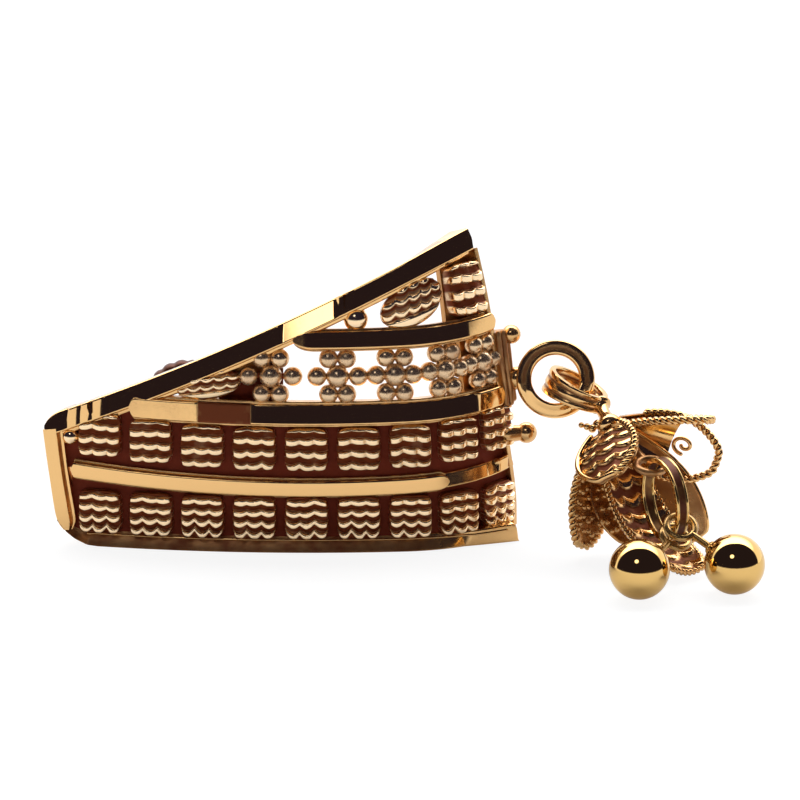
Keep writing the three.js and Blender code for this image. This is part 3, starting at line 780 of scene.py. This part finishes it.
def leaves():
    # a crest that falls off to the edges, with rows of scales over it above a plain belly
    look = leafLook
    parts = []
    for s, z, length, half, tilt in look["places"]:
        u = np.linspace(-1, 1, 101)[:, None]
        v = np.linspace(-1, 1, 51)[None, :]
        width = look["tip"] + (half - look["tip"]) * np.sqrt(1 - u ** 2)
        shown = v * np.sqrt(1.05 - u ** 2)
        height = scales(u + 0 * v, shown, look["rows"], look["columns"], 0.3, 0.4, 0.42, look["grade"])
        worked = np.clip(6 * shown + 3.6, 0, 1)
        height = look["belly"] + (height - look["belly"]) * worked
        out = -look["crest"] * (1 - np.sqrt(np.clip((1 - u ** 2) * (1 - v ** 2), 0, 1)))
        out = out + look["lift"] * height - 0.16
        place = [s + u * length / 2 + 0 * v, z + tilt * u * length / 2 + v * width]
        # painted shade and patina: the lower the relief, the darker
        darkening = np.clip(1.1 - height * 1.5, 0, 1)
        parts.append(relief(panelPoint(*place, out), panelPoint(*place, -1 + 0 * out), darkening))
    return parts


makePiece("leaves", leaves(), "grained", sharp=80)
loneGrains = {"s": np.array([-11.45, 2.2]), "z": np.array([5.2, 11.06]),
              "out": np.array([-0.4, -0.55]), "radius": np.array([0.42, 0.58])}
loneCentres = panelPoint(loneGrains["s"], loneGrains["z"], loneGrains["out"])
makePiece("lone_grains", [beads(loneCentres, loneGrains["radius"], 24, 16)], "grained")
print("panel done")


endRing = {"centre": np.array([11.5, 3.4, 7.5]), "radius": 1.49, "wire": 0.36, "tip": 16, "slant": 0.4,
           "wires": [(10.25, -0.1, 0.14), (10.62, -0.08, 0.16), (10.98, -0.12, 0.14)],
           "grains": [[9.42, 3.9, 9.55], [10.15, 3.35, 4.9], [9.7, 3.75, 7.45]],
           "grainRadii": np.array([0.45, 0.5, 0.55]), "rod": [[9.2, 3.1, 4.9], [10.0, 3.35, 4.9]]}


def circle(centre, radius, first, second, count=64):
    # points at radius round the centre in the plane of two directions
    turn = wholeTurn(count)[:, None]
    return centre + radius * (np.cos(turn) * unit(first) + np.sin(turn) * unit(second))


def solderedEnd():
    # a ring of nearly square wire that tips back a little, its face slanted outwards round the lower
    # part, its grains, the rod that one sits on, and upright wires down the flange, all darkened in part
    # by painted shade and patina
    tip = math.radians(endRing["tip"])
    axis = np.array([0, math.cos(tip), -math.sin(tip)])
    wire = endRing["wire"]
    section = denser(roundedSection(-wire, wire, -wire, wire, 0.15, 4), 64)
    inner = np.abs(section).min(axis=1) / wire
    section = section * (1 - 0.05 * np.clip(1 - 2 * inner, 0, 1))[:, None]
    turn = wholeTurn(120)[:, None]
    low = np.clip(3 * np.sin(turn) - 0.3, 0, 1)
    # painted shade and patina along the middle of each face of the wire, less round the lower part
    darkening = 0.85 * np.clip(1.5 - 2.4 * inner, 0, 1)[None] * (1 - 0.85 * low)
    reach = endRing["radius"] + section[None, :, 1]
    first, second = np.array([1.0, 0, 0]), np.cross(axis, [1.0, 0, 0])
    aside = section[None, :, 0] + endRing["slant"] * low * section[None, :, 1]
    rows = looped(endRing["centre"], (first, second, axis), turn, (reach, reach), aside)
    parts = [skin(rows, True, patinaShade=darkening),
             beads(endRing["grains"], endRing["grainRadii"], 24, 16, 0.4),
             tube(np.linspace(*endRing["rod"], 9), np.linspace(0.42, 0.36, 9), upright, 16, patinaShade=0.5)]
    for k, (s, out, radius) in enumerate(endRing["wires"]):
        z = np.linspace(6.3 + 0.1 * k, 9.75 - 0.05 * k, 24)
        path = panelPoint(s + 0.04 * np.sin(z * 2 + k), z, out)
        parts.append(tube(path, radius, backwards, 10, patinaShade=0.8))
    return parts


makePiece("end_ring", solderedEnd())


post = {"x": -5.9, "z": 5.3, "radius": 0.5, "seat": 1.1, "tip": 9.0, "padRadius": 1.1,
        "threadFrom": 4.0, "threadTo": 8.7, "pitch": 0.36, "depth": 0.05}


def earPost():
    # a stepped seat, then a rod with a helical groove: the radius follows the cosine of the length
    # over the pitch less the turn
    y = np.linspace(post["seat"], post["tip"] - 0.12, 300)[:, None]
    turn = wholeTurn(28)[None, :]
    threaded = np.clip((y - post["threadFrom"]) / 0.2, 0, 1)
    threaded = threaded * np.clip((post["threadTo"] - y) / 0.2, 0, 1)
    wave = np.cos(2 * math.pi * y / post["pitch"] - turn)
    radius = post["radius"] - post["depth"] * threaded * (1 - wave) * 0.5
    end = np.sqrt(np.clip(1 - ((y - post["tip"] + 0.62) / 0.5) ** 2, 0.2, 1))
    radius = radius * np.where(y > post["tip"] - 0.62, end, 1)
    rows = [post["x"] + radius * np.cos(turn), y + 0 * turn, post["z"] + radius * np.sin(turn)]
    tip = np.array([post["x"], post["tip"], post["z"]])
    start = np.array([post["x"], post["seat"], post["z"]])
    r = post["padRadius"]
    seat = [[r, 0], [r, 0.55], [r - 0.1, 0.72], [r - 0.35, 0.8], [0.75, 0.9], [0.1, 0.9]]
    foot = [[0.1, 0]] + seat
    return [skin(np.stack(rows, axis=-1), startTip=start, endTip=tip),
            turned(foot, start, backwards, upright, 40, False)]


makePiece("ear_post", earPost())

nut = {"front": 6.4, "radius": 2.15, "bore": 0.85, "hub": 1.5, "lobes": 20, "notch": 0.035,
       "grains": {"count": 26, "reach": 1.77, "depth": 0.98, "radius": 0.16}}


def screwNut():
    # a disc with a scalloped edge, a raised hub behind, and a ring of fine grains round the hub
    r, hub, bore = nut["radius"], nut["hub"], nut["bore"]
    profile = [[bore, 0.06], [bore + 0.06, 0], [1.2, 0], [1.3, 0.06], [1.6, 0.06], [1.7, 0],
               [r - 0.35, 0], [r - 0.1, 0.08], [r, 0.3], [r, 0.62], [r - 0.12, 0.86],
               [r - 0.4, 0.97], [hub + 0.1, 1.0], [hub, 1.08], [hub, 1.8], [hub - 0.1, 1.95],
               [hub - 0.25, 2.0], [bore + 0.08, 2.0], [bore, 1.92], [bore, 1.0]]

    def scallop(rows, turn):
        # notches near the rim, by the fourth power of the cosine of the turn
        near = np.clip((rows[:, :1] - (r - 0.5)) / 0.4, 0, 1)
        return 1 - nut["notch"] * near * np.abs(np.cos(turn * nut["lobes"] / 2)) ** 4

    origin = np.array([post["x"], nut["front"], post["z"]])
    grains = nut["grains"]
    reach = grains["reach"]
    turn = wholeTurn(grains["count"])
    ring = np.stack([reach * np.cos(turn), 0 * turn + grains["depth"], reach * np.sin(turn)], axis=1)
    # painted shade: the outer part of the disc is darkened, fully towards its scalloped rim
    darkening = np.interp(np.array(profile)[:, 0], [r - 0.8, r - 0.3], [0.1, 1.3])[:, None]
    return [turned(profile, origin, backwards, upright, 240, True, darkening, wave=scallop),
            beads(origin + ring, grains["radius"], 10, 8, 0.5)]


makePiece("nut", screwNut(), "mirror", "screw_nut")
print("fitting done")


bail = {"centre": np.array([12.45, 3.45, 6.9]), "along": unit(np.array([0.8, -0.5, -0.33])),
        "depth": unit(np.array([0.46, 0.866, -0.2])), "halfLength": 1.4, "halfDepth": 1.25,
        "foldWidth": 1.2, "neckWidth": 0.8, "thickness": 0.3}
crown = np.array([14, 1.5, 5.8])  # where the neck ends and the petals start


def bailLoop():
    # an oval loop of flat strip with raised edges, widest at its fold
    side = unit(np.cross(bail["along"], bail["depth"]))
    turn = wholeTurn(96)[:, None]
    width = bail["foldWidth"] + (bail["neckWidth"] - bail["foldWidth"]) * (0.5 + 0.5 * np.cos(turn))
    section = denser(roundedSection(-0.5, 0.5, -0.5, 0.5, 0.14, 3, 0.01), 80)
    # both faces are hollowed between the edges and a line along the middle; the hollows carry painted
    # shade and patina
    place = np.abs(section[:, 0])
    hollow = np.where(np.abs(section[:, 1]) > 0.36, np.clip(1 - np.abs(place - 0.21) / 0.15, 0, 1), 0)
    grow = section[:, 1] * (1 - 0.4 * hollow) * bail["thickness"]
    reaches = bail["halfLength"] + grow[None], bail["halfDepth"] + grow[None]
    rows = looped(bail["centre"], (bail["along"], bail["depth"], side), turn, reaches,
                  width * section[None, :, 0])
    return [skin(rows, True, patinaShade=0.2 + 0.75 * hollow[None])]


neckTop = bail["centre"] + bail["halfLength"] * bail["along"]
neckAxis = unit(crown - neckTop)


def neck():
    # a bright collar, a narrow neck that flares into the crown, and a few stray grains of solder
    profile = [[0.1, 0], [0.4, 0.0], [0.5, 0.05], [0.53, 0.14], [0.5, 0.24], [0.4, 0.3], [0.33, 0.36],
               [0.31, 0.5], [0.31, 0.95], [0.36, 1.1], [0.48, 1.3], [0.6, 1.55], [0.56, 1.8],
               [0.4, 1.95], [0.1, 2.0]]
    parts = [turned(profile, neckTop - 0.12 * neckAxis, neckAxis, upright, 48, False, 0.3)]
    stray = np.array([[13.45, 1.75, 5.75], [13.2, 1.6, 5.6], [12.95, 1.5, 5.72], [12.68, 1.5, 5.8]])
    parts.append(beads(stray, np.array([0.24, 0.2, 0.17, 0.14]), 14, 10, 0.2))
    return parts


makePiece("bail", bailLoop() + neck(), node="drop_cap")

petalLook = {"wall": 0.22, "tipWidth": 0.3, "cup": 0.3, "bulge": -0.15, "rope": 0.2, "ropePitch": 0.6,
             "wire": 0.13, "grain": 0.15, "lift": 0.14, "edge": 0.11, "thin": 1.0}
petals = [
    {"tip": [13.85, -2.15, 4.35], "side": [0.84, -0.275, 0.46], "half": 1.55, "dress": "ridged",
     "cup": 0.1, "edge": -0.14},
    {"tip": [12.5, -0.6, 0.6], "side": [-0.65, -0.7, 0.3], "half": 1.4, "dress": "grained"},
    {"tip": [15.1, 0.1, 0.5], "side": [-1, -0.12, -0.08], "half": 1.5, "dress": "banded"},
    {"tip": [18.3, 0.8, 0.6], "side": [-0.7, 0.06, -0.52], "half": 1.4, "dress": "plain"},
    {"tip": [19.04, 1, 4.2], "side": [-0.28, -0.13, -0.95], "half": 1.5, "dress": "open"},
    {"tip": [18.6, -0.5, 6.75], "side": [0, 0.961, -0.276], "half": 1.05, "dress": "roped",
     "cup": 0, "bulge": -0.06},
    {"tip": [17.6, -4.1, 0.25], "side": [-0.85, -0.52, 0.05], "half": 1.35, "dress": "ribbed",
     "bulge": -0.35, "tipWidth": 0.65, "thin": 0.8},
]
petals = [{**petalLook, **shape} for shape in petals]


def petalFrame(shape):
    # a bent middle line from the crown to the tip, with directions of its width and its inside
    tip, start = np.array(shape["tip"]), crown
    reach = tip - start
    along = unit(reach)
    side = np.array(shape["side"], float)
    side = unit(side - side @ along * along)
    inside = np.cross(side, along)
    bend = start + 0.5 * reach + shape["bulge"] * np.linalg.norm(reach) * inside

    def line(u):
        # a parabola through the start and the tip, pulled towards the bend
        u = np.asarray(u, float)[..., None]
        return (1 - u) ** 2 * start + 2 * u * (1 - u) * bend + u ** 2 * tip

    def inwards(u):
        # square to the side and to the line's own direction
        u = np.asarray(u, float)[..., None]
        tangent = unit(2 * (1 - u) * (bend - start) + 2 * u * (tip - bend))
        return unit(np.cross(np.broadcast_to(side, tangent.shape), tangent))

    def width(u):
        # the half width swells as a power of the sine of the length
        swell = np.sin(math.pi * np.asarray(u, float) ** 1.3) ** 0.7
        return shape["half"] * (shape["tipWidth"] + (1 - shape["tipWidth"]) * np.abs(swell))

    return line, side, inwards, width


def petalPoint(shape, u, v, depth):
    # out from the middle line by the width, and inwards by the depth and the cup of the edges
    line, side, inwards, width = petalFrame(shape)
    u, v, depth = np.broadcast_arrays(u, v, depth)
    wide = width(u)
    lift = depth + shape["cup"] * v ** 2 * wide
    return line(u) + (v * wide)[..., None] * side + inwards(u) * lift[..., None]


def petalEdge(shape, start, end, side):
    # along one edge of the petal, from share start to share end of its length
    u = np.linspace(start, end, 50)
    return petalPoint(shape, u, np.full(50, float(side)), shape["edge"])


def petalTip(shape, start, end):
    # across the tip, from share start to share end of its half width
    v = np.linspace(start, end, 24)
    return petalPoint(shape, np.ones(24), v, shape["edge"])


def petalBorder(shape, start):
    # up one edge from share start of the length, across the tip and back down the other edge
    return np.concatenate([petalEdge(shape, start, 1, -1), petalTip(shape, -0.95, 0.95),
                           petalEdge(shape, 1, start, 1)[1:]])


def rope(path, normal, patinaShade=0.25, size=1.0):
    # a twisted wire whose pitch is scaled with its thickness
    return twisted(path, petalLook["rope"] * size, petalLook["ropePitch"] * size, normal, patinaShade=patinaShade)


def plainWire(shape, normal, patinaShade=0.0):
    # a thin round wire all round the petal's border
    path = resample(petalBorder(shape, 0.15), 0.1)
    return tube(path, shape["wire"] * 0.8, normal, 10, patinaShade=patinaShade)


def petalSheet(shape):
    # the sheet with its outer face dressed by ridges or grains, then the wires along its edges
    dress, wall = shape["dress"], shape["wall"]
    normal = petalFrame(shape)[2](0.6)
    last = 0.62 if dress == "open" else 1.0
    u = np.linspace(0.05, last, 90)[:, None]
    v = np.linspace(-1, 1, 61)[None, :]
    # painted shade and patina: the faces are darkened about half way, the inner face a little more, the
    # open petal hardly; ridges are darker in their valleys
    darkening, lift = (0.05 if dress == "open" else 0.5), 0
    inside = {"open": 0.05, "plain": 0.75}.get(dress, 0.6)
    if dress == "ridged" or dress == "ribbed":
        rows, curve = (5.5, 0.3) if dress == "ridged" else (9, 0.24)
        height = scales(v, 1 - 2 * u + 0 * v, rows, 3, curve, 0.4, 0.41)
        lift = shape["lift"] * height * np.clip((1 - np.abs(v)) * 8, 0, 1)
        darkening = np.clip(1.3 - height * 1.3, 0, 1)
    if dress == "open":
        u = u * (1 - 0.14 * (1 - v ** 2) * u)
    # ridges stand on the outer face, or on the ribbed petal's inner face
    under, over, patinaShades = -lift, wall, (darkening, inside)
    if dress == "ribbed":
        under, over, patinaShades = 0, wall + lift, (inside, darkening)
    parts = [shell(petalPoint(shape, u, v, under), petalPoint(shape, u, v, over), *patinaShades)]
    if dress == "grained" or dress == "banded":
        rows = np.arange(0.26, 0.97, 0.105)
        columns = np.linspace(-0.82, 0.82, 8)
        gu, gv = np.meshgrid(rows, columns, indexing="ij")
        gv = gv + 0.1 * (np.arange(len(rows)) % 2)[:, None] + rng.normal(0, 0.05, gv.shape)
        gu = gu + rng.normal(0, 0.02, gu.shape)
        spots = petalPoint(shape, gu.ravel(), gv.ravel(), wall + 0.02)
        parts.append(beads(spots, shape["grain"] * rng.uniform(0.8, 1.35, len(spots)), 12, 8, 0.45))
    if dress == "ridged":
        left = np.concatenate([petalEdge(shape, 0.15, 1, -1), petalTip(shape, -0.95, 0.95)])
        parts.append(tube(resample(left, 0.08), shape["wire"], normal, 12))
        parts += rope(petalEdge(shape, 0.12, 1, 1), normal)
    elif dress == "banded":
        v = np.linspace(-0.95, 0.95, 30)
        parts += rope(petalPoint(shape, 0.36 + 0.06 * v ** 2, v, wall + 0.1), normal, 0.3)
        parts.append(plainWire(shape, normal, 0.5))
    elif dress == "plain":
        parts.append(plainWire(shape, normal))
    else:
        parts += rope(petalBorder(shape, 0.25), normal, size=shape["thin"])
    if dress == "open":
        # a scroll of wire that curls from the end of the sheet into the opening
        turn = np.linspace(0, 1, 60)
        angle = math.pi * (0.5 + 2.3 * turn)
        curl = 0.3 * (1 - 0.75 * turn)
        su = 0.68 + 0.36 * curl * np.cos(angle)
        sv = -0.12 + curl * np.sin(angle)
        parts.append(tube(petalPoint(shape, su, sv, wall / 2), 0.1, normal, 10, patinaShade=0.3))
    return parts


for number, shape in enumerate(petals):
    makePiece(f"petal_{number + 1}", petalSheet(shape), node="drop_cap", sharp=70)


lowerRing = {"centre": np.array([16.42, -3.25, 3.62]), "along": np.array([0.319, -0.663, -0.675]),
             "across": np.array([0.247, -0.633, 0.734]), "radius": 1.85, "thickness": 0.3,
             "width": 0.6}
ringNormal = unit(np.cross(lowerRing["along"], lowerRing["across"]))


def flatRing():
    # a rounded flat section turned about the ring's axis, wider along the axis than through
    section = roundedSection(-0.5, 0.5, -0.5, 0.5, 0.2, 4, 0.02)
    section = denser(section, 90)
    # a groove down the middle of the inner and outer faces, darkened by painted shade
    groove = np.clip(2.7 - 6.6 * np.abs(section[:, 0]), 0, 1) * (np.abs(section[:, 1]) > 0.4)
    section[:, 1] = section[:, 1] * (1 - 0.3 * groove)
    turn = wholeTurn(120)[:, None]
    reach = lowerRing["radius"] + section[None, :, 1] * lowerRing["thickness"]
    directions = lowerRing["along"], lowerRing["across"], ringNormal
    aside = section[None, :, 0] * lowerRing["width"] + 0 * turn
    rows = looped(lowerRing["centre"], directions, turn, (reach, reach), aside)
    return [skin(rows, True, patinaShade=1.1 * groove[None])]


makePiece("ring", flatRing(), "mirror", "lower_ring")

# the wire eyes are darkened by painted shade, for the shade between the balls
eye = {"radius": 0.66, "wire": 0.17, "ball": 1.4, "patinaShade": 0.75}


def wireEye(centre, holder, stemStart):
    # a ring of wire round the lower ring's band, with its stem to the holder
    towards = unit(holder - centre)
    normal = unit(lowerRing["across"] - lowerRing["across"] @ towards * towards)
    path = circle(centre, eye["radius"], towards, np.cross(normal, towards), 56)
    stem = np.linspace(holder - stemStart * towards, centre + eye["radius"] * towards, 12)
    return [tube(path, eye["wire"], normal, 14, True, eye["patinaShade"]),
            tube(stem, eye["wire"], normal, 14, patinaShade=eye["patinaShade"])]


def ballDrop(centre, place):
    # a ball with a small collar where its stem leaves it
    angle = place / lowerRing["radius"]
    hangs = lowerRing["centre"] + lowerRing["radius"] * (
        math.cos(angle) * lowerRing["along"] + math.sin(angle) * lowerRing["across"])
    centre = np.array(centre)
    towards = unit(centre - hangs)
    collar = [[0.06, -0.02], [0.3, -0.02], [0.34, 0.05], [0.3, 0.13], [0.2, 0.2], [0.06, 0.22]]
    top = centre - towards * (eye["ball"] - 0.06)
    return [beads(centre, eye["ball"], 96, 64), *wireEye(hangs, centre, eye["ball"] / 2),
            turned(collar, top, -towards, upright, 32, False, 0.2)]


balls = [([15.14, -6.95, 1.4], -0.46), ([19.53, -6.19, 1.4], 0.46)]
for number, (centre, place) in enumerate(balls, 1):
    makePiece(f"ball_{number}", ballDrop(centre, place), "mirror", f"ball_drop_{number}")
ringTop = lowerRing["centre"] - lowerRing["radius"] * lowerRing["along"]
makePiece("cap_eye", wireEye(ringTop, crown, 0), node="drop_cap")
print("drop done")


stand = {"floor": 3.0, "albedo": 0.86, "lit": 0.2, "shown": 0.6, "glow": 1.12}
sky = {"back": 1.25, "top": 4.8, "dark": (0.02, 0.016, 0.032), "lamp": 3.0, "lampAim": [-0.2, -0.66, 0.71],
       "lampOuter": 8.5, "lampInner": 5, "horizon": 0.25}


def paleFloor():
    # a wide flat sheet at the foot of the object
    half = stand["floor"] / 2
    low = packedBox[0][2] - 0.00001
    mesh = bpy.data.meshes.new("floor")
    steps = np.linspace(-half, half, 9)
    x, y = np.meshgrid(steps, steps, indexing="ij")
    points = np.stack([x, y, np.full_like(x, low)], axis=-1).reshape(-1, 3)
    mesh.from_pydata(points.tolist(), [], gridQuads(9, 9).tolist())
    material = bpy.data.materials.new("pale_floor")
    material.use_nodes = True
    nodes = material.node_tree.nodes
    shader = nodes["Principled BSDF"]
    shader.inputs["Roughness"].default_value = 0.9
    shader.inputs["Specular IOR Level"].default_value = 0.1
    albedo = stand["albedo"]
    shader.inputs["Base Color"].default_value = (albedo, albedo, albedo, 1)
    # the camera sees the floor mostly as an evenly lit sheet, the metal sees its natural shading
    glow = nodes.new("ShaderNodeEmission")
    glow.inputs["Strength"].default_value = stand["glow"]
    path = nodes.new("ShaderNodeLightPath")
    share = nodes.new("ShaderNodeMath")
    share.operation = "MULTIPLY_ADD"
    share.inputs[1].default_value = stand["shown"]
    share.inputs[2].default_value = stand["lit"]
    both = nodes.new("ShaderNodeMixShader")
    links = material.node_tree.links
    links.new(path.outputs["Is Camera Ray"], share.inputs[0])
    links.new(share.outputs[0], both.inputs["Fac"])
    links.new(shader.outputs[0], both.inputs[1])
    links.new(glow.outputs[0], both.inputs[2])
    links.new(both.outputs[0], nodes["Material Output"].inputs["Surface"])
    mesh.materials.append(material)
    floor = bpy.data.objects.new("floor", mesh)
    bpy.context.scene.collection.objects.link(floor)
    floor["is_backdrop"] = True


def studioWorld():
    # a dark room in front, white behind and overhead beyond a slanting edge, one lamp high in front
    world = bpy.data.worlds.new("studio")
    bpy.context.scene.world = world
    world.use_nodes = True
    nodes, links = world.node_tree.nodes, world.node_tree.links
    nodes.clear()
    coordinate = nodes.new("ShaderNodeTexCoord")
    axes = nodes.new("ShaderNodeSeparateXYZ")
    links.new(coordinate.outputs["Generated"], axes.inputs["Vector"])
    x, y, z = (axes.outputs[k] for k in range(3))

    maths = mathsIn(world.node_tree)

    def ramp(value, low, high, start=0.0, end=1.0):
        # a soft step from start to end while the value goes from low to high
        node = nodes.new("ShaderNodeMapRange")
        node.interpolation_type = "SMOOTHSTEP"
        links.new(value, node.inputs["Value"])
        for label, number in (("From Min", low), ("From Max", high), ("To Min", start), ("To Max", end)):
            node.inputs[label].default_value = number
        return node.outputs["Result"]

    edge = maths("SUBTRACT", y, maths("MULTIPLY", z, 0.2))
    edge = maths("SUBTRACT", edge, maths("MULTIPLY", maths("ABSOLUTE", x), 0.12))
    white = maths("MULTIPLY", ramp(edge, -0.02, 0.06), ramp(z, 0.45, 0.8, sky["back"], sky["top"]))
    aim = unit(np.array(sky["lampAim"]))
    near = maths("ADD", maths("MULTIPLY", y, float(aim[1])), maths("MULTIPLY", z, float(aim[2])))
    near = maths("ADD", near, maths("MULTIPLY", x, float(aim[0])))
    outer, inner = (math.cos(math.radians(sky[name])) for name in ("lampOuter", "lampInner"))
    lamp = maths("MULTIPLY", ramp(near, outer, inner), sky["lamp"])
    glow = maths("MULTIPLY", ramp(z, 0.05, 0.01), sky["horizon"])
    light = maths("ADD", maths("ADD", white, lamp), glow)
    # below the horizon, and where the camera looks past the floor, the studio is plain white
    below = maths("LESS_THAN", z, 0.0)
    path = nodes.new("ShaderNodeLightPath")
    plain = maths("MAXIMUM", below, path.outputs["Is Camera Ray"])
    light = maths("ADD", maths("MULTIPLY", light, maths("SUBTRACT", 1, plain)), plain)
    lit = nodes.new("ShaderNodeBackground")
    links.new(light, lit.inputs["Strength"])
    base = nodes.new("ShaderNodeBackground")
    base.inputs["Color"].default_value = (*sky["dark"], 1)
    both = nodes.new("ShaderNodeAddShader")
    links.new(lit.outputs[0], both.inputs[0])
    links.new(base.outputs[0], both.inputs[1])
    out = nodes.new("ShaderNodeOutputWorld")
    links.new(both.outputs[0], out.inputs["Surface"])
    lit.inputs["Color"].default_value = (1, 1, 1, 1)


view = {"elevation": 16.0, "distance": 0.3, "lens": 290.0}


def frontCamera():
    # a long lens in front of the object's middle, above the horizon by the elevation
    low, high = (np.array(list(corner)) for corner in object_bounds())
    middle = (low + high) / 2
    rise = math.radians(view["elevation"])
    away = np.array([0, -math.cos(rise), math.sin(rise)])
    data = bpy.data.cameras.new("camera")
    data.lens = view["lens"]
    data.sensor_width = 36
    data.clip_start = 0.01
    data.clip_end = 10
    camera = bpy.data.objects.new("camera", data)
    camera.location = middle + away * view["distance"]
    camera.rotation_euler = (math.pi / 2 - rise, 0, 0)
    bpy.context.scene.collection.objects.link(camera)
    bpy.context.scene.camera = camera
    bpy.context.scene.view_settings.view_transform = "Standard"


paleFloor()
studioWorld()
frontCamera()
print("studio done")
